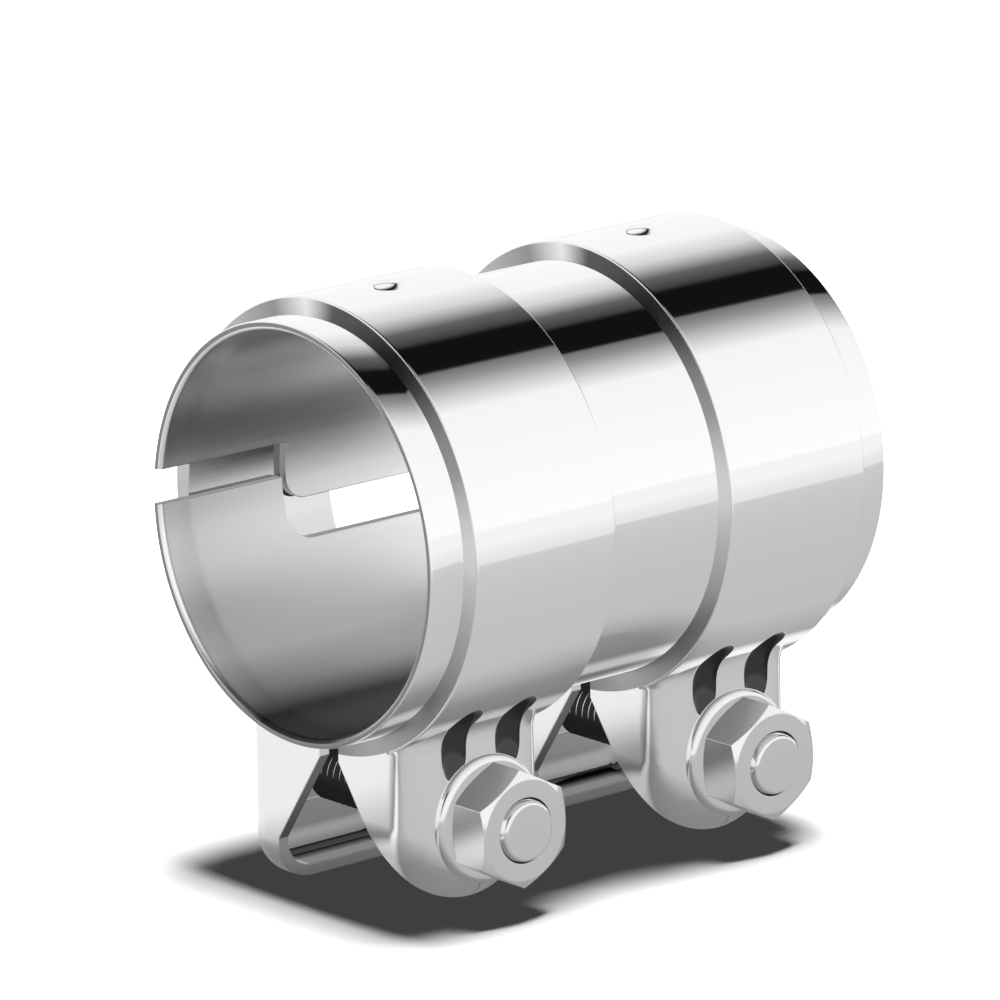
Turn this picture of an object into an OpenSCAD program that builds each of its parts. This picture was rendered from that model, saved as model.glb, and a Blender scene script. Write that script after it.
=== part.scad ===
// Exhaust pipe sleeve connector: a split sheet sleeve held by two pressed clamp bands.
// Axes: +Y along the pipe, front mouth at -Y, nuts at +X, lugs at -Z.
// Origin: on the bore axis, halfway along the sleeve.

/* [Sleeve] */
// Length of the sleeve along the pipe
sleeve_length = 96; // [70:1:140]
// Inside diameter of the sleeve between its mouths
sleeve_bore_d = 64.8; // [45:0.1:90]
// Sheet thickness of the sleeve
sleeve_wall = 1.5; // [1:0.1:2.5]
// How far each mouth opens outwards, on the radius
mouth_flare = 0.35; // [0:0.05:1]
// Length of each flared mouth
mouth_length = 7; // [3:0.5:12]
// Width of the split at the two ends
seam_end_gap = 5.8; // [2:0.1:9]
// Height of the end splits above the bore axis
seam_end_height = 1.7; // [-5:0.05:5]
// Width of the split along the tongue
seam_tongue_gap = 6.4; // [2:0.1:9]
// How far the tongue's split lies below the end splits
seam_step = 10.1; // [7:0.1:14]
// Length of the tongue along the pipe
tongue_length = 44.2; // [20:1:70]
// Play between the tongue's ends and the notch
tongue_play = 0.8; // [0.4:0.1:2]
// Corner radius of the tongue
tongue_corner_r = 3.5; // [0.5:0.5:5]
// Corner radius of the notch
notch_corner_r = 4.5; // [0.5:0.5:6]

/* [Clamp bands] */
// Width of each band along the pipe
band_width = 28.8; // [20:0.2:40]
// Distance between the middles of the two bands
band_pitch = 53.2; // [35:0.2:80]
// Sheet thickness of the bands and their lugs
band_sheet = 2.9; // [1.5:0.1:4]
// Play between the sleeve and each band, on the radius
band_play = 0.3; // [0.1:0.05:1]

/* [Lugs] */
// Distance from the middle to the outer face of the lug under the nut
lug_reach = 20.2; // [17:0.1:30]
// Distance from the middle to the outer face of the box-shaped lug
head_lug_reach = 22.2; // [17:0.1:30]
// Depth of the box-shaped lug below the outside of the band
lug_drop = 24.6; // [21:0.1:35]
// Corner radius of the box-shaped lug, seen along the bolt
lug_corner_r = 7; // [6.5:0.5:12]
// Outer radius of the pressed edges of both lugs
lug_edge_r = 6; // [4:0.1:6.5]
// Radius of the hollow bend between band and lug
lug_bend_r = 6; // [2:0.5:8]
// Gap between the two lugs where they leave the band
mouth_gap = 4.6; // [2:0.2:8]
// Depth of that upright gap below the outside of the band
mouth_throat = 1; // [0.5:0.5:4]
// Lean of the lugs' free edges, away from upright
mouth_lean = 34; // [20:1:40]
// Lean of the box-shaped lug's free edge below its knee
mouth_foot_lean = 3; // [0:1:40]
// Height of that knee above the bottom of the lug
mouth_knee_height = 7.6; // [3:0.1:12]

/* [Stiffening dents] */
// Radius of the rounded dents across each bend
dent_r = 2.7; // [1:0.1:4]
// Depth of the dents
dent_depth = 1.9; // [0.5:0.1:2.5]
// Distance between the middles of the two dents
dent_pitch = 11.2; // [8:0.1:16]
// Sheet left behind a dent
dent_sheet = 2; // [1:0.1:2.9]

/* [Dimples] */
// Diameter of the shallow rim of the dimple
dimple_rim_d = 9; // [6:0.5:14]
// Diameter of the pit in its middle
dimple_pit_d = 5.4; // [3:0.1:8]
// Depth of the shallow rim
dimple_rim_depth = 0.5; // [0.2:0.1:1]
// Depth of the pit from the outside of the band
dimple_depth = 1.7; // [1:0.1:2.2]

/* [Bolts] */
// Nominal thread diameter
thread_d = 10; // [8:1:12]
// Pitch of the thread
thread_pitch = 1.5; // [1:0.25:2]
// Height of the bolt axis above the bottom of the box-shaped lug
bolt_height = 15.5; // [13:0.1:18]
// How far the bolt's end stands out of the nut
bolt_stand_out = 1.1; // [0.5:0.1:8]
// Diameter of the round head
head_d = 22; // [16:0.5:26]
// Height of the round head
head_h = 5.2; // [3:0.1:7]
// Play of the shank in the nut and washer, on the radius
thread_play = 0.05; // [0.02:0.01:0.1]
// Play of the shank in the lug's hole, on the radius
hole_play = 0.5; // [0.2:0.1:1]
// Play of the square neck in its hole, on each side
neck_play = 0.15; // [0.05:0.05:0.5]
// How far the square neck stands inside the lug
neck_reach = 1.5; // [0.5:0.1:3]
// Chamfer at the bolt's end
tip_chamfer = 1; // [0.5:0.1:2]

/* [Nuts and washers] */
// Nut width across its flats
nut_flats = 17; // [13:0.5:19]
// Height of the nut
nut_height = 8; // [5:0.1:12]
// Diameter of the chamfer circle as a part of the width across flats
nut_chamfer_part = 0.97; // [0.9:0.01:1]
// Turn of the nut, corner up at 0
nut_turn = 2; // [-30:1:30]
// Outside diameter of the washer
washer_d = 21; // [18:0.5:30]
// Thickness of the washer
washer_height = 2.4; // [1.5:0.1:4]
// Rounding of the washer's rim as a part of its thickness
washer_round_part = 0.46; // [0.1:0.02:0.48]
// Gap between the seats of lug, washer and nut
seat_gap = 0.1; // [0.05:0.05:0.3]

/* [Hidden] */
$fn = 48;
eps = 0.01;
over = 1;
far = 200;

bore_r = sleeve_bore_d / 2;
sleeve_r = bore_r + sleeve_wall;
band_in_r = sleeve_r + band_play;
band_out_r = band_in_r + band_sheet;

lug_bottom = -(band_out_r + lug_drop);
lug_reaches = [lug_reach, head_lug_reach];
lug_side = band_width / 2;
lug_top = -band_in_r / 2;
// The bends run a hair inside the outside of the band, so that the two surfaces cross
bend_foot_r = band_out_r - 2 * eps;
function bend_z(reach) = -sqrt(pow(bend_foot_r + lug_bend_r, 2) - pow(reach + lug_bend_r, 2));
function bend_angle(reach) = atan2(bend_z(reach), reach + lug_bend_r);

// How deep the back of a dimple is fused into the band
bite = 0.5;

bolt_z = lug_bottom + bolt_height;
shank_r = thread_d / 2 - thread_play;
neck = thread_d;
neck_length = band_sheet + neck_reach;
washer_x = lug_reach + seat_gap;
nut_x = washer_x + washer_height + seat_gap;
bolt_length = head_lug_reach + nut_x + nut_height + bolt_stand_out;

// A drawing in x and z, made w long across the middle plane
module along_y(w) {
    rotate([90, 0, 0])
        linear_extrude(height = w, center = true)
            children();
}

// A drawing whose x is +Y and whose y is +Z, made from x = 0 to w
module along_x(w) {
    rotate([90, 0, 90])
        linear_extrude(height = w)
            children();
}

// A round bar along Y
module bar_y(r, w) {
    rotate([90, 0, 0])
        cylinder(r = r, h = w, center = true);
}

// A turned shape whose axis is +X
module turned_x() {
    rotate([0, 90, 0])
        rotate_extrude()
            children();
}

// The sheet left in a square corner when its arc of radius r is cut
module corner_bit(r) {
    difference() {
        square(r);
        translate([r, r]) circle(r = r);
    }
}

// A plate w by h whose far corner is rounded to r
module eased_plate(w, h, r) {
    difference() {
        square([w, h]);
        translate([w, h]) rotate(180) corner_bit(r);
    }
}

// Pressed lug from the middle plane to x: bottom corners of radius corner_r, outer edges rounded to r
module lug_block(x, y, z0, z1, corner_r, r) {
    corner_y = y - corner_r;
    corner_z = z0 + corner_r;
    for (m = [0, 1])
        mirror([0, m, 0]) {
            translate([0, 0, corner_z])
                linear_extrude(height = z1 - corner_z)
                    eased_plate(x, y, r);
            translate([0, corner_y, corner_z])
                intersection() {
                    turned_x() mirror([1, -1]) eased_plate(x, corner_r, r);
                    translate([0, 0, -corner_r]) cube([x, corner_r, corner_r]);
                }
        }
    if (corner_y > 0)
        translate([0, 0, corner_z])
            along_y(2 * corner_y)
                mirror([0, 1]) eased_plate(x, corner_r, r);
}

// Sleeve

module sleeve_profile() {
    straight = sleeve_length / 2 - mouth_length;
    rim_r = sleeve_wall / 2;
    rim_y = sleeve_length / 2 - rim_r;
    in_r = bore_r + mouth_flare;
    out_r = sleeve_r + mouth_flare;
    polygon([[in_r, -rim_y], [out_r, -rim_y], [sleeve_r, -straight], [sleeve_r, straight],
             [out_r, rim_y], [in_r, rim_y], [bore_r, straight], [bore_r, -straight]]);
    for (s = [-1, 1])
        translate([in_r + rim_r, s * rim_y]) circle(r = rim_r);
}

// The split, drawn flat: two end cuts and one lower cut along the tongue
module seam_cut() {
    end_low = seam_end_height - seam_end_gap / 2;
    end_high = seam_end_height + seam_end_gap / 2;
    mid_high = end_low + (seam_end_gap - seam_tongue_gap) / 2 + seam_tongue_gap - seam_step;
    mid_low = mid_high - seam_tongue_gap;
    tongue = tongue_length / 2;
    notch = tongue + tongue_play;
    difference() {
        union() {
            translate([-notch, mid_low]) square([2 * notch, seam_tongue_gap]);
            for (m = [0, 1]) mirror([m, 0]) {
                translate([tongue, end_low]) square([sleeve_length, seam_end_gap]);
                translate([tongue, mid_low]) square([tongue_play, end_high - mid_low]);
                translate([tongue, mid_high]) mirror([1, 0]) corner_bit(tongue_corner_r);
            }
        }
        for (m = [0, 1]) mirror([m, 0])
            translate([notch, mid_low]) mirror([1, 0]) corner_bit(notch_corner_r);
    }
}

module sleeve() {
    color("#c9cbcd")
    difference() {
        rotate([-90, 0, 0])
            rotate_extrude($fn = 96)
                sleeve_profile();
        translate([-far, 0, 0])
            along_x(far - sleeve_r / 2)
                seam_cut();
    }
}

// Clamp band with its two pressed lugs

// Fills the hollow bend where the band turns down into a lug
module bend_fill(reach) {
    inner = reach - band_sheet;
    angle = bend_angle(reach);
    low = bend_z(reach);
    difference() {
        polygon([[inner, low],
                 [reach + lug_bend_r, low],
                 [bend_foot_r * cos(angle), bend_foot_r * sin(angle)],
                 [inner, -sqrt(pow(bend_foot_r, 2) - pow(inner, 2))]]);
        translate([reach + lug_bend_r, low]) circle(r = lug_bend_r);
    }
}

// The free space between the lugs, drawn in x and z
module lug_gap() {
    top = mouth_gap / 2;
    start_z = -band_out_r - mouth_throat;
    end_z = lug_bottom - over;
    knee_z = lug_bottom + mouth_knee_height;
    knee = top + (start_z - knee_z) * tan(mouth_lean);
    foot = knee + (knee_z - end_z) * tan(mouth_foot_lean);
    open_foot = top + (start_z - end_z) * tan(mouth_lean);
    polygon([[-top, lug_top], [top, lug_top], [top, start_z], [open_foot, end_z],
             [-foot, end_z], [-knee, knee_z], [-top, start_z]]);
}

// A round-edged wheel set in the bend, which leaves a dent with a rounded floor
module dent_wheel(reach, r) {
    core = lug_bend_r + dent_depth - dent_r;
    translate([reach + lug_bend_r, 0, bend_z(reach)])
        rotate([90, 0, 0])
            rotate_extrude() {
                translate([0, -r]) square([core, 2 * r]);
                intersection() {
                    translate([core, 0]) circle(r = r);
                    translate([core, -r]) square([r, 2 * r]);
                }
            }
}

module dents(r) {
    for (m = [0, 1], s = [-1, 1])
        mirror([m, 0, 0])
            translate([0, s * dent_pitch / 2, 0])
                dent_wheel(lug_reaches[m], r);
}

// Carries the hollow bend round the rounded edges of a lug
module bend_corners(reach) {
    flare = lug_edge_r + lug_bend_r;
    rise = -lug_bend_r * sin(bend_angle(reach));
    intersection() {
        for (s = [-1, 1])
            translate([reach - lug_edge_r, s * (lug_side - lug_edge_r), bend_z(reach)])
                rotate_extrude()
                    difference() {
                        square([flare, rise]);
                        translate([flare, 0]) circle(r = lug_bend_r);
                    }
        along_y(band_width) square(2 * far, center = true);
    }
}

module band_blank() {
    bar_y(band_out_r, band_width, $fn = 96);
    lugs(0);
    for (m = [0, 1])
        mirror([m, 0, 0]) {
            along_y(band_width - 2 * lug_edge_r) bend_fill(lug_reaches[m]);
            bend_corners(lug_reaches[m]);
        }
}

// Both lugs, thinner all round by inset: a box at the bolt's head, and at the nut a
// round ear about the bolt
module lugs(inset) {
    side = lug_side - inset;
    edge_r = lug_edge_r - inset;
    mirror([1, 0, 0])
        lug_block(head_lug_reach - inset, side, lug_bottom + inset, lug_top,
                  lug_corner_r - inset, edge_r);
    lug_block(lug_reach - inset, side, bolt_z - side, lug_top, side, edge_r);
}

// Hollow of the lugs, with the backs of the dents standing into it
module lug_hollow() {
    difference() {
        lugs(band_sheet);
        dents(dent_r + dent_sheet);
    }
}

module dimple() {
    floor_z = band_out_r - dimple_depth;
    translate([0, 0, floor_z]) cylinder(d = dimple_pit_d, h = band_sheet);
    translate([0, 0, band_out_r - dimple_rim_depth])
        cylinder(d1 = dimple_pit_d, d2 = dimple_rim_d, h = dimple_rim_depth);
    translate([0, 0, band_out_r - eps]) cylinder(d = dimple_rim_d, h = over);
}

// The dimple's inside bears on the sleeve and holds the band to it
module dimple_back() {
    difference() {
        translate([0, 0, bore_r])
            cylinder(d = dimple_pit_d - 2 * dimple_rim_depth, h = band_in_r - bore_r + bite);
        bar_y(sleeve_r, band_width, $fn = 96);
    }
}

module clamp_band() {
    color("#d4d6d8") {
        difference() {
            band_blank();
            lug_hollow();
            bar_y(band_in_r, far, $fn = 96);
            along_y(far) lug_gap();
            dents(dent_r);
            dimple();
            translate([0, 0, bolt_z]) {
                rotate([0, 90, 0]) cylinder(r = thread_d / 2 + hole_play, h = far);
                translate([-far / 2, 0, 0])
                    cube([far, neck + 2 * neck_play, neck + 2 * neck_play], center = true);
            }
        }
        dimple_back();
    }
}

// Bolt, washer and nut, each drawn on the axis of its bolt

module bolt() {
    cap_r = (pow(head_d / 2, 2) + pow(head_h, 2)) / (2 * head_h);
    color("#b9bcc0")
    translate([0, 0, bolt_z]) {
        translate([-head_lug_reach, 0, 0])
            rotate([0, -90, 0])
                rotate_extrude()
                    intersection() {
                        translate([0, head_h - cap_r]) circle(r = cap_r, $fn = 128);
                        square([head_d / 2, head_h]);
                    }
        translate([-head_lug_reach + neck_length / 2 - eps, 0, 0])
            cube([neck_length + 2 * eps, neck, neck], center = true);
        turned_x_from(-head_lug_reach)
            polygon([[0, 0],
                     [shank_r, 0],
                     [shank_r, bolt_length - tip_chamfer],
                     [shank_r - tip_chamfer, bolt_length],
                     [0, bolt_length]]);
    }
}

module turned_x_from(x) {
    translate([x, 0, 0])
        turned_x()
            children();
}

module washer() {
    edge_r = washer_height * washer_round_part;
    hole_r = thread_d / 2 + thread_play;
    rim = washer_d / 2;
    color("#c4c7ca")
    translate([0, 0, bolt_z])
        turned_x_from(washer_x) {
            translate([hole_r, 0]) square([rim - edge_r - hole_r, washer_height]);
            translate([hole_r, edge_r]) square([rim - hole_r, washer_height - 2 * edge_r]);
            for (y = [edge_r, washer_height - edge_r])
                translate([rim - edge_r, y]) circle(r = edge_r, $fn = 48);
        }
}

module nut() {
    corner_r = nut_flats / 2 / cos(30);
    chamfer_r = nut_flats / 2 * nut_chamfer_part;
    beyond_r = corner_r + over;
    fall = (beyond_r - chamfer_r) * tan(30);
    hole_r = thread_d / 2 + thread_play;
    sink_r = hole_r + thread_pitch / 2;
    sink = sink_r - hole_r;
    color("#aeb2b6")
    translate([nut_x, 0, bolt_z])
        difference() {
            intersection() {
                rotate([nut_turn, 0, 0])
                    rotate([0, 90, 0])
                        cylinder(r = corner_r, h = nut_height, $fn = 6);
                turned_x()
                    polygon([[0, 0], [chamfer_r, 0], [beyond_r, fall],
                             [beyond_r, nut_height - fall], [chamfer_r, nut_height],
                             [0, nut_height]]);
            }
            turned_x()
                polygon([[0, -over], [sink_r + over, -over], [hole_r, sink],
                         [hole_r, nut_height - sink], [sink_r + over, nut_height + over],
                         [0, nut_height + over]]);
        }
}

module front_band() {
    translate([0, -band_pitch / 2, 0]) clamp_band();
}

module rear_band() {
    translate([0, band_pitch / 2, 0]) clamp_band();
}

module front_bolt() {
    translate([0, -band_pitch / 2, 0]) bolt();
}

module rear_bolt() {
    translate([0, band_pitch / 2, 0]) bolt();
}

module front_washer() {
    translate([0, -band_pitch / 2, 0]) washer();
}

module rear_washer() {
    translate([0, band_pitch / 2, 0]) washer();
}

module front_nut() {
    translate([0, -band_pitch / 2, 0]) nut();
}

module rear_nut() {
    translate([0, band_pitch / 2, 0]) nut();
}

sleeve();
front_band();
rear_band();
front_bolt();
rear_bolt();
front_washer();
rear_washer();
front_nut();
rear_nut();
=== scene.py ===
import bpy
from math import cos, pi, radians, sin, tan
from mathutils import Matrix, Vector


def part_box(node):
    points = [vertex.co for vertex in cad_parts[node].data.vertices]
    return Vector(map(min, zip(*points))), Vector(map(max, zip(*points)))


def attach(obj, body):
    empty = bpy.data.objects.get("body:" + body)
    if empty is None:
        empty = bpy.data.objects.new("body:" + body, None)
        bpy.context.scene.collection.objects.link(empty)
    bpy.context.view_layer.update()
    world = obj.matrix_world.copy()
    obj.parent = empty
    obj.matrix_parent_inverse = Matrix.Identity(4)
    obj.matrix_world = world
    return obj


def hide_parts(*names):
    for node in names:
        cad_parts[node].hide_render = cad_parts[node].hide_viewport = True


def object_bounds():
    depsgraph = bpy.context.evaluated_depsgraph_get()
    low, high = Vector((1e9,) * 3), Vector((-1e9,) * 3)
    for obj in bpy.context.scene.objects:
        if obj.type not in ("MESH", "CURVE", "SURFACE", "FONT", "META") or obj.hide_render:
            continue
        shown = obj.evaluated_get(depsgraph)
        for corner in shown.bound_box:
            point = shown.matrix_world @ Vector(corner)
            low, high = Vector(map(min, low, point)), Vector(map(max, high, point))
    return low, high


MM = 0.001
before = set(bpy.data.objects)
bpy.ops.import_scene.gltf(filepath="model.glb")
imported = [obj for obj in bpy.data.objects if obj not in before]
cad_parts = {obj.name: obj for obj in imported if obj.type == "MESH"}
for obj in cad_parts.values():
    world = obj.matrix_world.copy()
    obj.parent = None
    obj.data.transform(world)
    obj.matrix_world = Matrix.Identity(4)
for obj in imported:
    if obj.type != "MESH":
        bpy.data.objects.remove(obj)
cad_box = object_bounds()

# Camera
# A long lens looks down on the nut side of the front mouth, as a catalogue picture
# of a small bright part is taken.
camera_azimuth = radians(49.316)
camera_elevation = radians(14.772)
camera_roll = radians(-1.0)
camera_distance = 1.5007
lens_mm = 336.74
sensor_mm = 36.0
frame_shift = (-0.0203, -0.0189)
nearest_seen = 0.05
farthest_seen = 50.0

camera_data = bpy.data.cameras.new("camera")
camera_data.lens = lens_mm
camera_data.sensor_width = sensor_mm
camera_data.shift_x = frame_shift[0]
camera_data.shift_y = frame_shift[1]
camera_data.clip_start = nearest_seen
camera_data.clip_end = farthest_seen
camera = bpy.data.objects.new("camera", camera_data)
bpy.context.scene.collection.objects.link(camera)
towards_camera = Vector((
    sin(camera_azimuth) * cos(camera_elevation),
    -cos(camera_azimuth) * cos(camera_elevation),
    sin(camera_elevation),
))
aim = (-towards_camera).to_track_quat("-Z", "Y").to_matrix().to_4x4()
turn = Matrix.Rotation(camera_roll, 4, towards_camera)
camera.matrix_world = Matrix.Translation(towards_camera * camera_distance) @ turn @ aim
bpy.context.scene.camera = camera


# Studio
# A white room with one narrow black card overhead, which draws the dark stripe along
# the top of bright tube, and a plain white floor that the metal sees greyer in strips.
def linear(hex_colour, alpha=1.0):
    channels = []
    for i in (1, 3, 5):
        value = int(hex_colour[i:i + 2], 16) / 255
        if value <= 0.04045:
            channels.append(value / 12.92)
        else:
            channels.append(((value + 0.055) / 1.055) ** 2.4)
    return (*channels, alpha)


def add_node(tree, kind, inputs=None, **settings):
    node = tree.nodes.new(kind)
    for name, value in settings.items():
        setattr(node, name, value)
    for socket, value in (inputs or {}).items():
        if isinstance(value, bpy.types.NodeSocket):
            tree.links.new(value, node.inputs[socket])
        else:
            node.inputs[socket].default_value = value
    return node


def set_stops(ramp, stops):
    """Spreads the greys over the ramp by the place of each in the list's own units."""
    first, last = stops[0][0], stops[-1][0]
    marks = ramp.color_ramp.elements
    marks[0].color = linear(stops[0][1])
    marks[1].color = linear(stops[-1][1])
    for place, grey in stops[1:-1]:
        marks.new((place - first) / (last - first)).color = linear(grey)


# What bright metal sees over the floor, in degrees round the pipe: 0 is the nut side,
# 90 overhead
room_seen = [
    (0, "#f8f8f8"),
    (60, "#f0f0f0"),
    (77, "#909090"),
    (83, "#707070"),
    (84, "#101010"),
    (101, "#101010"),
    (104, "#404040"),
    (112, "#606060"),
    (125, "#d0d0d0"),
    (140, "#f0f0f0"),
    (180, "#f0f0f0"),
]
room_strength = 1.2
soft_light_strength = 0.021

world = bpy.data.worlds.new("white_room")
bpy.context.scene.world = world
world.use_nodes = True
tree = world.node_tree
tree.nodes.clear()
direction = add_node(tree, "ShaderNodeTexCoord").outputs["Generated"]
axes = add_node(tree, "ShaderNodeSeparateXYZ", {"Vector": direction}).outputs
angle = add_node(tree, "ShaderNodeMath", {0: axes["Z"], 1: axes["X"]}, operation="ARCTAN2")
around = add_node(tree, "ShaderNodeMapRange", {
    "Value": angle.outputs[0], "From Min": 0.0, "From Max": pi})
cards = add_node(tree, "ShaderNodeValToRGB", {"Fac": around.outputs["Result"]})
set_stops(cards, room_seen)
mirrored = add_node(tree, "ShaderNodeBackground", {
    "Color": cards.outputs["Color"], "Strength": room_strength})
plain = add_node(tree, "ShaderNodeBackground", {
    "Color": linear("#ffffff"), "Strength": soft_light_strength})
backdrop = add_node(tree, "ShaderNodeBackground", {"Color": linear("#ffffff"), "Strength": 1.0})
path = add_node(tree, "ShaderNodeLightPath").outputs
light_or_mirror = add_node(tree, "ShaderNodeMixShader", {
    0: path["Is Glossy Ray"], 1: plain.outputs[0], 2: mirrored.outputs[0]})
seen_by_all = add_node(tree, "ShaderNodeMixShader", {
    0: path["Is Camera Ray"], 1: light_or_mirror.outputs[0], 2: backdrop.outputs[0]})
add_node(tree, "ShaderNodeOutputWorld", {"Surface": seen_by_all.outputs[0]})

# One large soft lamp nearly straight above, too soft for a hard edge on the shadow
lamp_spread = radians(23)
lamp_lean = (radians(-5), radians(3), 0)
lamp_data = bpy.data.lights.new("overhead_lamp", "SUN")
lamp_data.energy = pi
lamp_data.angle = lamp_spread
lamp = bpy.data.objects.new("overhead_lamp", lamp_data)
bpy.context.scene.collection.objects.link(lamp)
lamp.rotation_euler = lamp_lean
lamp.visible_glossy = False

# Plain pale floor. The camera sees it burnt out to white, so that only the shadow
# shows. Bright metal sees it in these greys, in millimetres along X from under the part.
floor_seen = [
    (-300, "#f0f0f0"),
    (-45, "#f0f0f0"),
    (-10, "#888888"),
    (-3, "#f8f8f8"),
    (4, "#f8f8f8"),
    (9, "#a8a8a8"),
    (30, "#c0c0c0"),
    (240, "#d0d0d0"),
    (246, "#e8e8e8"),
    (500, "#f8f8f8"),
]
shadow_kept = 0.5
burnt_out = 2.2
floor_across = 30
bpy.ops.mesh.primitive_plane_add(size=floor_across, location=(0, 0, cad_box[0].z))
floor = bpy.context.object
floor.name = "floor"
floor_paint = bpy.data.materials.new("matt_white_floor")
floor_paint.use_nodes = True
# Its glow is there to be mirrored, so it isn't sampled as a lamp
floor_paint.cycles.emission_sampling = "NONE"
tree = floor_paint.node_tree
tree.nodes.clear()
path = add_node(tree, "ShaderNodeLightPath").outputs
place = add_node(tree, "ShaderNodeTexCoord").outputs["Object"]
axes = add_node(tree, "ShaderNodeSeparateXYZ", {"Vector": place}).outputs
across = add_node(tree, "ShaderNodeMapRange", {
    "Value": axes["X"], "From Min": floor_seen[0][0] * MM, "From Max": floor_seen[-1][0] * MM})
floor_tone = add_node(tree, "ShaderNodeValToRGB", {"Fac": across.outputs["Result"]})
set_stops(floor_tone, floor_seen)
lit = add_node(tree, "ShaderNodeBsdfDiffuse", {"Color": floor_tone.outputs["Color"]})
glowing = add_node(tree, "ShaderNodeEmission", {
    "Color": floor_tone.outputs["Color"], "Strength": room_strength})
in_metal = add_node(tree, "ShaderNodeMixShader", {
    0: shadow_kept, 1: glowing.outputs[0], 2: lit.outputs[0]})
to_camera = add_node(tree, "ShaderNodeBsdfDiffuse", {"Color": (burnt_out, burnt_out, burnt_out, 1)})
seen = add_node(tree, "ShaderNodeMixShader", {
    0: path["Is Camera Ray"], 1: in_metal.outputs[0], 2: to_camera.outputs[0]})
add_node(tree, "ShaderNodeOutputMaterial", {"Surface": seen.outputs[0]})
floor.data.materials.append(floor_paint)

bpy.context.scene.view_settings.view_transform = "Standard"


# Sleeve
# A rolled tube of bright stainless sheet, flared a little at both mouths. Its edges
# meet in a stepped split on the far side, where a tongue hangs into a notch.
sleeve_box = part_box("sleeve")
sleeve_wall = 1.5 * MM
mouth_length = 7 * MM
mouth_step = 1.2 * MM
mouth_r = sleeve_box[1].z
sleeve_end = sleeve_box[1].y
sleeve_r = mouth_r - 0.35 * MM
rim_outer_rounding = 0.35 * MM
rim_inner_rounding = 1 * MM
seam_end_gap = (-1.2 * MM, 4.6 * MM)
seam_tongue_gap = (-11.6 * MM, -5.2 * MM)
tongue_end = 22.1 * MM
notch_end = 22.9 * MM
tongue_rounding = 3.5 * MM
notch_rounding = 4.5 * MM
hair = 0.01 * MM


def start(add_primitive, **settings):
    bpy.ops.object.select_all(action="DESELECT")
    add_primitive(**settings)
    bpy.ops.object.transform_apply(location=True, rotation=True, scale=True)
    return bpy.context.object


def block(low, high):
    centre = (Vector(low) + Vector(high)) / 2
    size = Vector(high) - Vector(low)
    return start(bpy.ops.mesh.primitive_cube_add, size=1, location=centre, scale=size)


def rod(radius, length, centre, axis, segments=192):
    turned = {"X": (0, pi / 2, 0), "Y": (-pi / 2, 0, 0), "Z": (0, 0, 0)}[axis]
    return start(bpy.ops.mesh.primitive_cylinder_add, vertices=segments, radius=radius,
                 depth=length, location=centre, rotation=turned)


def activate(piece):
    bpy.ops.object.select_all(action="DESELECT")
    piece.select_set(True)
    bpy.context.view_layer.objects.active = piece


def pick(piece, kind, test):
    """Opens the piece in edit mode with only the parts chosen whose middle and normal pass."""
    activate(piece)
    bpy.ops.object.mode_set(mode="EDIT")
    bpy.ops.mesh.select_mode(type=kind)
    bpy.ops.mesh.select_all(action="DESELECT")
    bpy.ops.object.mode_set(mode="OBJECT")
    mesh = piece.data
    if kind == "FACE":
        for face in mesh.polygons:
            face.select = test(face.center, face.normal)
    elif kind == "EDGE":
        for edge in mesh.edges:
            ends = [mesh.vertices[i].co for i in edge.vertices]
            edge.select = test((ends[0] + ends[1]) / 2, (ends[1] - ends[0]).normalized())
    else:
        for vertex in mesh.vertices:
            vertex.select = test(vertex.co, vertex.normal)
    bpy.ops.object.mode_set(mode="EDIT")


def leave_edit():
    bpy.ops.object.mode_set(mode="OBJECT")


def round_off(piece, kind, width, segments, test):
    """Bevels the edges that pass, or the edges of the faces that pass."""
    pick(piece, kind, test)
    bpy.ops.mesh.bevel(offset=width, segments=segments, affect="EDGES")
    leave_edit()


def pull(offset, grow=(1, 1, 1)):
    """Extrudes what is chosen by the offset and widens its new end."""
    bpy.ops.mesh.extrude_region_move(TRANSFORM_OT_translate={"value": offset})
    bpy.ops.transform.resize(value=grow)


def apply_modifier(piece, kind, **settings):
    activate(piece)
    modifier = piece.modifiers.new(kind.lower(), kind)
    for name, value in settings.items():
        setattr(modifier, name, value)
    bpy.ops.object.modifier_apply(modifier=modifier.name)


def combine(piece, tool, operation):
    apply_modifier(piece, "BOOLEAN", operation=operation, object=tool, solver="MANIFOLD")
    bpy.data.objects.remove(tool)


def cut(piece, *tools):
    for tool in tools:
        combine(piece, tool, "DIFFERENCE")


def fuse(piece, *others):
    for other in others:
        combine(piece, other, "UNION")


def finish_piece(piece, name, smooth_under, *materials):
    """Cleans the mesh and shades its bends smooth and its corners sharp."""
    piece.name = name
    pick(piece, "VERT", lambda place, normal: True)
    bpy.ops.mesh.remove_doubles(threshold=0.003 * MM)
    bpy.ops.mesh.normals_make_consistent(inside=False)
    leave_edit()
    bpy.ops.object.shade_smooth_by_angle(angle=radians(smooth_under))
    apply_modifier(piece, "WEIGHTED_NORMAL", keep_sharp=True)
    piece.data.materials.clear()
    for material in materials:
        piece.data.materials.append(material)


def show(piece, body, node):
    """Hands the piece to its body in the node's place. The floor's soft light ignores it,
    because a bright room mirrored onto the floor would fill the shadow."""
    piece.visible_diffuse = False
    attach(piece, body)
    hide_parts(node)


# Rolling lines are drawn 1.7 mm wide and 50 mm long, far wider than real ones, and as
# faint changes of gloss only
rolling_lines_per_metre = (600, 20, 600)
dullest_line = 1.08
glossiest_line = 0.94


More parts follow.
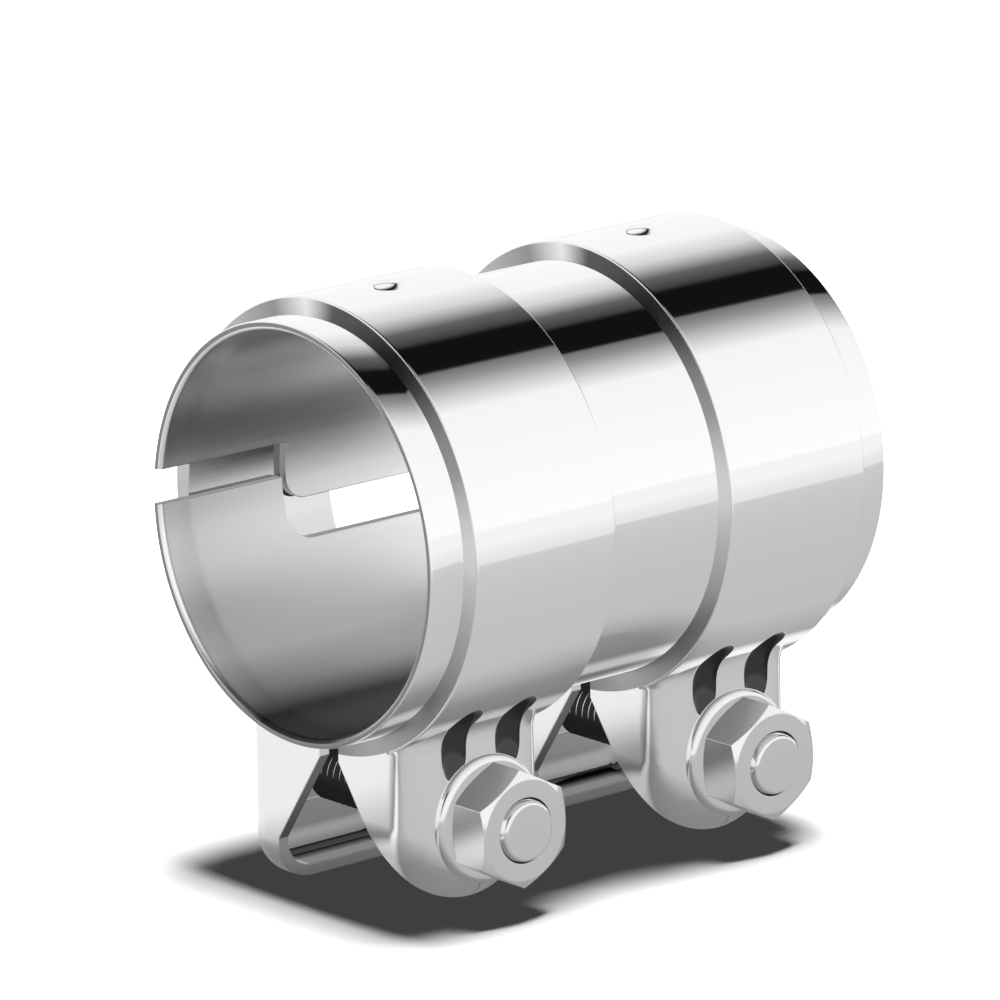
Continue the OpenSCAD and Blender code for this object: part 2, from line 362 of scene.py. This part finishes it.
def bright_metal(name, colour, roughness, edge_mm):
    """Bare bright metal with faint rolling lines along the pipe, whose cut edges look
    eased by edge_mm."""
    material = bpy.data.materials.new(name)
    material.use_nodes = True
    tree = material.node_tree
    tree.nodes.clear()
    eased = add_node(tree, "ShaderNodeBevel", {"Radius": edge_mm * MM}, samples=6)
    place = add_node(tree, "ShaderNodeTexCoord").outputs["Object"]
    stretched = add_node(tree, "ShaderNodeMapping", {
        "Vector": place, "Scale": rolling_lines_per_metre})
    lines = add_node(tree, "ShaderNodeTexNoise", {
        "Vector": stretched.outputs[0], "Scale": 1.0, "Detail": 2.0})
    gloss = add_node(tree, "ShaderNodeMapRange", {
        "Value": lines.outputs[0], "From Min": 0.3, "From Max": 0.7,
        "To Min": glossiest_line * roughness, "To Max": dullest_line * roughness})
    shader = add_node(tree, "ShaderNodeBsdfPrincipled", {
        "Base Color": linear(colour), "Metallic": 1.0, "Roughness": gloss.outputs[0],
        "Normal": eased.outputs[0]})
    add_node(tree, "ShaderNodeOutputMaterial", {"Surface": shader.outputs[0]})
    return material


def tone_round_axis(material, tones):
    """Gives the metal a grey that changes with the degrees round the pipe's axis."""
    tree = material.node_tree
    place = add_node(tree, "ShaderNodeTexCoord").outputs["Object"]
    axes = add_node(tree, "ShaderNodeSeparateXYZ", {"Vector": place}).outputs
    angle = add_node(tree, "ShaderNodeMath", {0: axes["Z"], 1: axes["X"]}, operation="ARCTAN2")
    around = add_node(tree, "ShaderNodeMapRange", {
        "Value": angle.outputs[0], "From Min": -pi, "From Max": pi})
    ring = add_node(tree, "ShaderNodeValToRGB", {"Fac": around.outputs["Result"]})
    set_stops(ring, tones)
    shader = tree.nodes["Principled BSDF"]
    tree.links.new(ring.outputs["Color"], shader.inputs["Base Color"])


# Mirror-bright rolled sheet: the room shows in it as long soft-edged bands
polished_sheet = bright_metal("polished_stainless_sheet", "#f0f0f0", 0.05, 0.25)
# Duller inside than out, and darker along the bottom: a painted stand-in for the shade there
mill_sheet_painted_shade = bright_metal("mill_finish_inside_painted_shade", "#f8f8f8", 0.3, 0.25)
tone_round_axis(mill_sheet_painted_shade, [
    (-180, "#f8f8f8"),
    (-130, "#f0f0f0"),
    (-105, "#303030"),
    (-75, "#303030"),
    (-45, "#f0f0f0"),
    (90, "#f8f8f8"),
    (125, "#c8c8c8"),
    (145, "#f8f8f8"),
    (180, "#f8f8f8"),
])
# The split's and the mouth's cut edges are duller than the sheet's faces, and their darker grey is
# painted shade
sheared_edge_painted_shade = bright_metal("sheared_sheet_edge_painted_shade", "#8a8a8a", 0.4, 0.25)

straight_half = sleeve_end - mouth_length
flare = mouth_r / sleeve_r
sleeve = start(bpy.ops.mesh.primitive_circle_add, vertices=256, radius=sleeve_r,
               location=(0, -straight_half, 0), rotation=(pi / 2, 0, 0))
pick(sleeve, "EDGE", lambda place, along: True)
pull((0, 2 * straight_half, 0))
pull((0, mouth_step, 0), (flare, 1, flare))
pull((0, mouth_length - mouth_step, 0))
leave_edit()
pick(sleeve, "EDGE", lambda place, along: place.y < -straight_half + hair and abs(along.y) < 0.5)
pull((0, -mouth_step, 0), (flare, 1, flare))
pull((0, mouth_step - mouth_length, 0))
bpy.ops.mesh.select_all(action="SELECT")
bpy.ops.mesh.normals_make_consistent(inside=False)
leave_edit()
apply_modifier(sleeve, "SOLIDIFY", thickness=sleeve_wall, offset=-1, use_even_offset=True)
rim_middle_r = mouth_r - sleeve_wall / 2
for outer, rounding in ((1, rim_outer_rounding), (-1, rim_inner_rounding)):
    round_off(sleeve, "EDGE", rounding, 4, lambda place, along: (
        abs(place.y) > sleeve_end - hair
        and outer * ((place.x ** 2 + place.z ** 2) ** 0.5 - rim_middle_r) > 0.4 * sleeve_wall))


def seam_block(low_y, high_y, gap):
    return block((-2 * sleeve_r, low_y, gap[0]), (-sleeve_r / 2, high_y, gap[1]))


def round_upright(piece, radius, test):
    round_off(piece, "EDGE", radius, 12, lambda place, along: abs(along.x) > 0.9 and test(place))


tongue_low = seam_tongue_gap[1]
tongue = seam_block(-tongue_end, tongue_end, (tongue_low, 2 * seam_end_gap[1]))
round_upright(tongue, tongue_rounding, lambda place: place.z < tongue_low + hair)
notch = seam_block(-notch_end, notch_end, (seam_tongue_gap[0], seam_end_gap[1]))
round_upright(notch, notch_rounding, lambda place: place.z < tongue_low)
seam = seam_block(-2 * sleeve_end, 2 * sleeve_end, seam_end_gap)
fuse(seam, notch)
cut(seam, tongue)
cut(sleeve, seam)
finish_piece(sleeve, "sleeve_sheet", 30, polished_sheet, mill_sheet_painted_shade, sheared_edge_painted_shade)
for face in sleeve.data.polygons:
    facing = face.normal.x * face.center.x + face.normal.z * face.center.z
    # Inner faces: the duller inside metal, with its painted shade along the bottom
    if facing < -0.5 * sleeve_r:
        face.material_index = 1
    # Rims and the split's cut edges: duller metal with painted shade
    elif facing < 0.5 * sleeve_r:
        face.material_index = 2
show(sleeve, "connector", "sleeve")


# Clamp bands
# Two rings of thicker bright sheet, each pressed from one strip whose ends turn down
# into hollow lugs: a round ear under the nut and a box under the bolt's head.
band_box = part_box("front_band")
band_y = (band_box[0].y + band_box[1].y) / 2
band_half = (band_box[1].y - band_box[0].y) / 2
band_r = band_box[1].z
lug_sheet = 1.9 * MM
band_in_r = sleeve_r
ring_edge = 0.3 * MM
lug_bottom = band_box[0].z
lug_reach = {1: 20.2 * MM, -1: 22.2 * MM}
lug_edge_r = 6 * MM
lug_corner_r = 7 * MM
lug_bend_r = 6 * MM
bolt_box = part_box("front_bolt")
bolt_z = (bolt_box[0].z + bolt_box[1].z) / 2
mouth_half = 2.3 * MM
mouth_throat = 1 * MM
mouth_lean = radians(34)
mouth_foot_lean = radians(3)
mouth_knee_z = lug_bottom + 7.6 * MM
mouth_overcut = 1 * MM
dent_r = 2.7 * MM
dent_depth = 1.9 * MM
dent_apart = 11.2 * MM
dent_sheet = 2 * MM
dimple_rim_r = 4.5 * MM
dimple_pit_r = 2.7 * MM
dimple_pit_rounding = 1.6 * MM
dimple_rim_depth = 0.5 * MM
dimple_depth = 1.7 * MM
dimple_tool_h = 4 * MM
hole_r = 5.5 * MM
square_hole_half = 5.15 * MM
high_up = 17 * MM
fullest_rounding = 0.999
lug_middle_in = 10 * MM
hollow_clear_r = band_r - 1 * MM


def lug(side, inset, low, corner):
    """One lug from the middle plane out, thinner all round by inset."""
    reach = lug_reach[side] - inset
    half = band_half - inset
    body = block((min(0, side * reach), -half, low + inset),
                 (max(0, side * reach), half, -high_up))
    # The ear's half circle stays a hair short, because its two bevels would meet in a fold
    round_off(body, "EDGE", min(corner - inset, half * fullest_rounding), 24,
              lambda place, along: abs(along.x) > 0.9 and place.z < -2 * high_up)
    round_off(body, "FACE", lug_edge_r - inset, 14,
              lambda place, normal: side * normal.x > 0.99)
    return body


def both_lugs(inset):
    ear = lug(1, inset, bolt_z - band_half, band_half)
    box_lug = lug(-1, inset, lug_bottom, lug_corner_r)
    return ear, box_lug


def bend_z(side):
    """Height of the middle of the bend, whose arc touches both the ring and the lug."""
    return -((band_r + lug_bend_r) ** 2 - (lug_reach[side] + lug_bend_r) ** 2) ** 0.5


def bend(side):
    """Fillet between ring and lug, left when a bar is pressed round the lug's three sides."""
    straight = band_half - lug_edge_r
    swing_x = side * (lug_reach[side] - lug_edge_r)
    swing_r = lug_edge_r + lug_bend_r
    bar_z = bend_z(side)
    touches = band_r / (band_r + lug_bend_r)
    out = side * (lug_reach[side] + lug_bend_r) * touches
    low = (min(0, out), -band_half, bar_z)
    high = (max(0, out), band_half, bar_z * touches)
    fill = block(low, high)
    bar = start(bpy.ops.mesh.primitive_circle_add, vertices=96, radius=lug_bend_r,
                fill_type="NGON", location=(swing_x, -straight - swing_r, bar_z),
                rotation=(0, pi / 2, 0))
    pick(bar, "FACE", lambda place, normal: True)
    quarter = -side * pi / 2
    bpy.ops.mesh.spin(steps=16, angle=quarter, center=(swing_x, -straight, bar_z), axis=(0, 0, 1))
    bpy.ops.mesh.extrude_region_move(TRANSFORM_OT_translate={"value": (0, 2 * straight, 0)})
    bpy.ops.mesh.spin(steps=16, angle=quarter, center=(swing_x, straight, bar_z), axis=(0, 0, 1))
    bpy.ops.mesh.select_all(action="SELECT")
    bpy.ops.mesh.normals_make_consistent(inside=False)
    leave_edit()
    cut(fill, bar)
    return fill


def wheel(side, y, minor_r):
    core = lug_bend_r + dent_depth - dent_r
    return start(bpy.ops.mesh.primitive_torus_add, major_radius=core, minor_radius=minor_r,
                 major_segments=96, minor_segments=48, rotation=(pi / 2, 0, 0),
                 location=(side * (lug_reach[side] + lug_bend_r), y, bend_z(side)))


def dents(minor_r):
    return [wheel(side, y, minor_r) for side in (-1, 1) for y in (-dent_apart / 2, dent_apart / 2)]


def mouth():
    """The opening between the lugs: upright at the band, then leaning out to both sides."""
    throat_z = -band_r - mouth_throat
    gap = block((-mouth_half, -2 * band_half, throat_z), (mouth_half, 2 * band_half, -high_up))
    pick(gap, "FACE", lambda place, normal: normal.z < -0.99)
    floor_z = throat_z
    for low, left_lean, right_lean in ((mouth_knee_z, mouth_lean, mouth_lean),
                                       (lug_bottom - mouth_overcut, mouth_foot_lean, mouth_lean)):
        drop = floor_z - low
        bpy.ops.mesh.extrude_region_move(TRANSFORM_OT_translate={"value": (0, 0, -drop)})
        leave_edit()
        for side, lean in ((-1, left_lean), (1, right_lean)):
            pick(gap, "VERT", lambda place, normal: abs(place.z - low) < hair and side * place.x > 0)
            bpy.ops.transform.translate(value=(side * drop * tan(lean), 0, 0))
            leave_edit()
        pick(gap, "FACE", lambda place, normal: abs(place.z - low) < hair and normal.z < -0.99)
        floor_z = low
    leave_edit()
    return gap


def dimple():
    floor_z = band_r - dimple_depth
    pit = rod(dimple_pit_r, dimple_tool_h, (0, 0, floor_z + dimple_tool_h / 2), "Z", 64)
    round_off(pit, "EDGE", dimple_pit_rounding, 10, lambda place, along: place.z < floor_z + hair)
    saucer = start(bpy.ops.mesh.primitive_cone_add, vertices=64, radius1=dimple_pit_r,
                   radius2=2 * dimple_rim_r - dimple_pit_r, depth=2 * dimple_rim_depth,
                   location=(0, 0, band_r))
    fuse(pit, saucer)
    return pit


# The pressed strip is as bright as the sleeve, and its rounded corners blur a little
polished_band = bright_metal("polished_band_strip", "#f0f0f0", 0.05, 0.35)
# The dents and the floors inside the lugs are darker than the strip: painted shade in them
dent_and_floor_painted_shade = bright_metal("painted_shade_dents_and_lug_floors", "#444444", 0.1, 0.25)
# The rings' edge faces carry a painted sheen: a fan of light and dark, painted in degrees
# round the ring from the nut side
ring_edge_painted_sheen = bright_metal("painted_sheen_ring_edge_fan", "#d8d8d8", 0.35, 0.25)
tone_round_axis(ring_edge_painted_sheen, [
    (-180, "#c0c0c0"),
    (-150, "#f0f0f0"),
    (-95, "#707070"),
    (-72, "#b0b0b0"),
    (-45, "#909090"),
    (0, "#f8f8f8"),
    (25, "#a0a0a0"),
    (60, "#505050"),
    (85, "#606060"),
    (95, "#f8f8f8"),
    (108, "#989898"),
    (150, "#e0e0e0"),
    (180, "#c0c0c0"),
])
# The lugs' insides are duller than their outsides, and their darker grey is painted shade
dull_inside_painted_shade = bright_metal("dull_lug_inside_painted_shade", "#b0b0b0", 0.5, 0.25)

band = rod(band_r, 2 * band_half, (0, 0, 0), "Y", 256)
round_off(band, "FACE", ring_edge, 3, lambda place, normal: abs(normal.y) > 0.99)
fuse(band, *both_lugs(0), bend(-1), bend(1))
ear_hollow, box_hollow = both_lugs(lug_sheet)
fuse(ear_hollow, box_hollow)
cut(ear_hollow, *dents(dent_r + dent_sheet))
pipe_bore = rod(band_in_r, 4 * band_half, (0, 0, 0), "Y", 256)
cut(band, pipe_bore, ear_hollow, mouth(), *dents(dent_r), dimple())
cut(band, rod(hole_r, 4 * band_r, (0, 0, bolt_z), "X", 64))
cut(band, block((-2 * band_r, -square_hole_half, bolt_z - square_hole_half),
                (0, square_hole_half, bolt_z + square_hole_half)))


def in_hollow(place, normal):
    """True on the walls and floors inside the lugs, which face the lug's own middle."""
    side = 1 if place.x > 0 else -1
    low = lug_bottom if side < 0 else bolt_z - band_half
    middle = Vector((side * (lug_reach[side] - lug_middle_in), 0, bolt_z))
    return (abs(place.x) < lug_reach[side] - lug_sheet + hair
            and abs(place.y) < band_half - lug_sheet + hair
            and low + lug_sheet - hair < place.z < -high_up
            and place.length > hollow_clear_r
            and normal.dot(place - middle) < 0)


def on_mouth_edge(place, normal):
    """True on the cut edges that lean over the opening between the lugs."""
    return mouth_knee_z < place.z < -band_r and normal.z < -0.4 and abs(normal.y) < 0.1


def in_dent(place):
    """True where the place lies on one of the four rings that pressed the dents."""
    for side in (-1, 1):
        across = ((place.x - side * (lug_reach[side] + lug_bend_r)) ** 2
                  + (place.z - bend_z(side)) ** 2) ** 0.5
        off = across - (lug_bend_r + dent_depth - dent_r)
        for y in (-dent_apart / 2, dent_apart / 2):
            if abs((off ** 2 + (place.y - y) ** 2) ** 0.5 - dent_r) < 3 * hair:
                return True
    return False


def duplicate(piece):
    """Copies a piece with a mesh of its own."""
    copy = piece.copy()
    copy.data = piece.data.copy()
    bpy.context.scene.collection.objects.link(copy)
    return copy


finish_piece(band, "front_band_strip", 28,
             polished_band, ring_edge_painted_sheen, dull_inside_painted_shade, dent_and_floor_painted_shade, sheared_edge_painted_shade)
for face in band.data.polygons:
    place = face.center
    out = (place.x ** 2 + place.z ** 2) ** 0.5
    # Ring edge faces: the painted sheen fan
    if abs(face.normal.y) > 0.99 and out < band_r:
        face.material_index = 1
    # Dents and the floors inside the lugs: painted shade
    elif in_dent(place) or in_hollow(place, face.normal) and face.normal.z > 0.7:
        face.material_index = 3
    # Walls inside the lugs: duller metal with painted shade
    elif in_hollow(place, face.normal):
        face.material_index = 2
    # Leaning cut edges of the mouth: painted shade
    elif on_mouth_edge(place, face.normal):
        face.material_index = 4
rear_band = duplicate(band)
rear_band.name = "rear_band_strip"
for strip, end, y in ((rear_band, "rear", -band_y), (band, "front", band_y)):
    strip.data.transform(Matrix.Translation((0, y, 0)))
    # The ring's mirror image in the sleeve would make its edge look twice as wide
    strip.visible_glossy = False
    show(strip, "connector", end + "_band")


# Bolts
# Zinc-plated cup-square bolts, each pushed through from the box-shaped lug: a low
# domed head, a square neck in the square hole, and a coarse M10 thread up to the nut.
head_r = 11 * MM
head_seat = -lug_reach[-1]
head_h = head_seat - bolt_box[0].x
head_edge_r = 0.4 * MM
neck_half = 5 * MM
neck_edge_r = 0.6 * MM
neck_sink = 0.1 * MM
neck_end = head_seat + 4.4 * MM
shank_sink = 0.5 * MM
shank_edge_r = 0.25 * MM
bolt_end = bolt_box[1].x
thread_r = 4.95 * MM
thread_depth = 0.85 * MM
thread_pitch = 1.5 * MM
tip_chamfer = 0.7 * MM
tip_length = 1.6 * MM


def bolt():
    dome_r = (head_r ** 2 + head_h ** 2) / (2 * head_h)
    head = start(bpy.ops.mesh.primitive_uv_sphere_add, segments=96, ring_count=96, radius=dome_r,
                 location=(head_seat - head_h + dome_r, 0, bolt_z), rotation=(0, pi / 2, 0))
    pick(head, "FACE", lambda place, normal: True)
    bpy.ops.mesh.bisect(plane_co=(head_seat, 0, bolt_z), plane_no=(1, 0, 0),
                        use_fill=True, clear_outer=True)
    leave_edit()
    round_off(head, "EDGE", head_edge_r, 3, lambda place, along: place.x > head_seat - hair)
    neck = block((head_seat - neck_sink, -neck_half, bolt_z - neck_half),
                 (neck_end, neck_half, bolt_z + neck_half))
    round_off(neck, "EDGE", neck_edge_r, 3,
              lambda place, along: abs(along.x) > 0.9 or place.x > neck_end - hair)
    shank_start = neck_end - shank_sink
    shank = rod(thread_r - thread_depth, bolt_end - shank_start,
                ((bolt_end + shank_start) / 2, 0, bolt_z), "X", 96)
    round_off(shank, "FACE", shank_edge_r, 2, lambda place, normal: normal.x > 0.99)
    tip = rod(thread_r, tip_length, (bolt_end - tip_length / 2, 0, bolt_z), "X", 96)
    round_off(tip, "FACE", tip_chamfer, 3, lambda place, normal: normal.x > 0.99)
    fuse(head, neck, shank, tip)
    return head


def thread():
    """A three-cornered ridge wound round the shank by the screw modifier."""
    ridge_r = thread_pitch * 0.55
    turns = int((bolt_end - neck_end - tip_length) / thread_pitch)
    ridge = start(bpy.ops.mesh.primitive_circle_add, vertices=3, radius=ridge_r,
                  rotation=(pi / 2, 0, 0))
    pick(ridge, "VERT", lambda place, normal: True)
    bpy.ops.transform.translate(value=(0, 0, thread_r - ridge_r))
    leave_edit()
    apply_modifier(ridge, "SCREW", axis="X", steps=48, render_steps=48, iterations=turns,
                   screw_offset=thread_pitch, use_normal_calculate=True)
    ridge.data.transform(Matrix.Translation((neck_end + thread_pitch / 2, 0, bolt_z)))
    return ridge


def both_clamps(piece, name, body, node):
    """Copies a finished piece and puts one in each clamp, out of the sleeve's reflections."""
    piece.visible_glossy = False
    front = duplicate(piece)
    for copy, end, y in ((front, "front", band_y), (piece, "rear", -band_y)):
        copy.name = end + "_" + name
        copy.data.transform(Matrix.Translation((0, y, 0)))
        show(copy, body.replace("front", end), end + "_" + node)


# Bright zinc: a little greyer and softer than the polished sheet
zinc = bright_metal("bright_zinc_plate", "#e8e8e8", 0.12, 0.2)
# Dark: painted shade on the thread between the lugs and in the nut's bore
thread_painted_shade = bright_metal("thread_painted_shade", "#303030", 0.4, 0.1)
front_bolt = bolt()
finish_piece(front_bolt, "front_bolt_body", 30, zinc)
front_thread = thread()
finish_piece(front_thread, "front_bolt_thread", 25, thread_painted_shade)
both_clamps(front_bolt, "bolt_body", "connector", "bolt")
both_clamps(front_thread, "bolt_thread", "connector", "bolt")


# Washers
# Thick plain washers of bright zinc-plated steel with well-rounded rims. One slides over
# the end of each bolt and sits between the ear and the nut.
washer_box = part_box("front_washer")
washer_r = (washer_box[1].z - washer_box[0].z) / 2
washer_thick = washer_box[1].x - washer_box[0].x
washer_x = (washer_box[0].x + washer_box[1].x) / 2
washer_rim_r = 0.46 * washer_thick
washer_bore_r = 5.05 * MM

washer = rod(washer_r, washer_thick, (washer_x, 0, bolt_z), "X", 128)
round_off(washer, "FACE", washer_rim_r, 8, lambda place, normal: abs(normal.x) > 0.99)
cut(washer, rod(washer_bore_r, 4 * washer_thick, (washer_x, 0, bolt_z), "X", 64))
finish_piece(washer, "washer", 30, zinc)
both_clamps(washer, "washer_ring", "front_washer_body", "washer")


# Nuts
# Plain M10 hexagon nuts, zinc plated, 17 mm across flats and chamfered on both faces.
# Each is run up to its washer and rests with two of its flats nearly upright.
nut_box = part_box("front_nut")
nut_half = (nut_box[1].x - nut_box[0].x) / 2
nut_x = (nut_box[0].x + nut_box[1].x) / 2
nut_flats = 17 * MM
nut_turned = radians(30 + 2)
nut_chamfer_r = nut_flats / 2 * 0.97
nut_chamfer_slope = radians(30)
nut_corner_r = nut_flats / 2 / cos(radians(30))
nut_fall = (nut_corner_r - nut_chamfer_r) * tan(nut_chamfer_slope)
nut_bore_r = 5.05 * MM
nut_sink = 0.35 * MM


def draw_ends(tool, length, narrowed):
    """Pulls both end faces of a rod along X out by the length, to a new share of their width."""
    for side in (-1, 1):
        pick(tool, "FACE", lambda place, normal: side * normal.x > 0.99)
        pull((side * length, 0, 0), (1, narrowed, narrowed))
        leave_edit()


nut = start(bpy.ops.mesh.primitive_cylinder_add, vertices=6, radius=nut_corner_r,
            depth=2 * nut_half, location=(nut_x, 0, bolt_z), rotation=(0, pi / 2, 0))
pick(nut, "VERT", lambda place, normal: True)
bpy.ops.transform.rotate(value=-nut_turned, orient_axis="X", center_override=(nut_x, 0, bolt_z))
leave_edit()
cones = rod(nut_corner_r, 2 * (nut_half - nut_fall), (nut_x, 0, bolt_z), "X", 192)
draw_ends(cones, nut_fall, nut_chamfer_r / nut_corner_r)
combine(nut, cones, "INTERSECT")
bore = rod(nut_bore_r, 2 * (nut_half - nut_sink), (nut_x, 0, bolt_z), "X", 96)
draw_ends(bore, 2 * nut_sink, (nut_bore_r + 2 * nut_sink) / nut_bore_r)
cut(nut, bore)
finish_piece(nut, "nut", 12, zinc, thread_painted_shade)
# The bore's faces take the dark thread metal: painted shade round the bolt
for face in nut.data.polygons:
    off = Vector((0, face.center.y, face.center.z - bolt_z))
    if abs(face.normal.x) < 0.9 and off.length < nut_bore_r + nut_sink:
        face.material_index = 1
both_clamps(nut, "hexagon_nut", "front_nut_body", "nut")
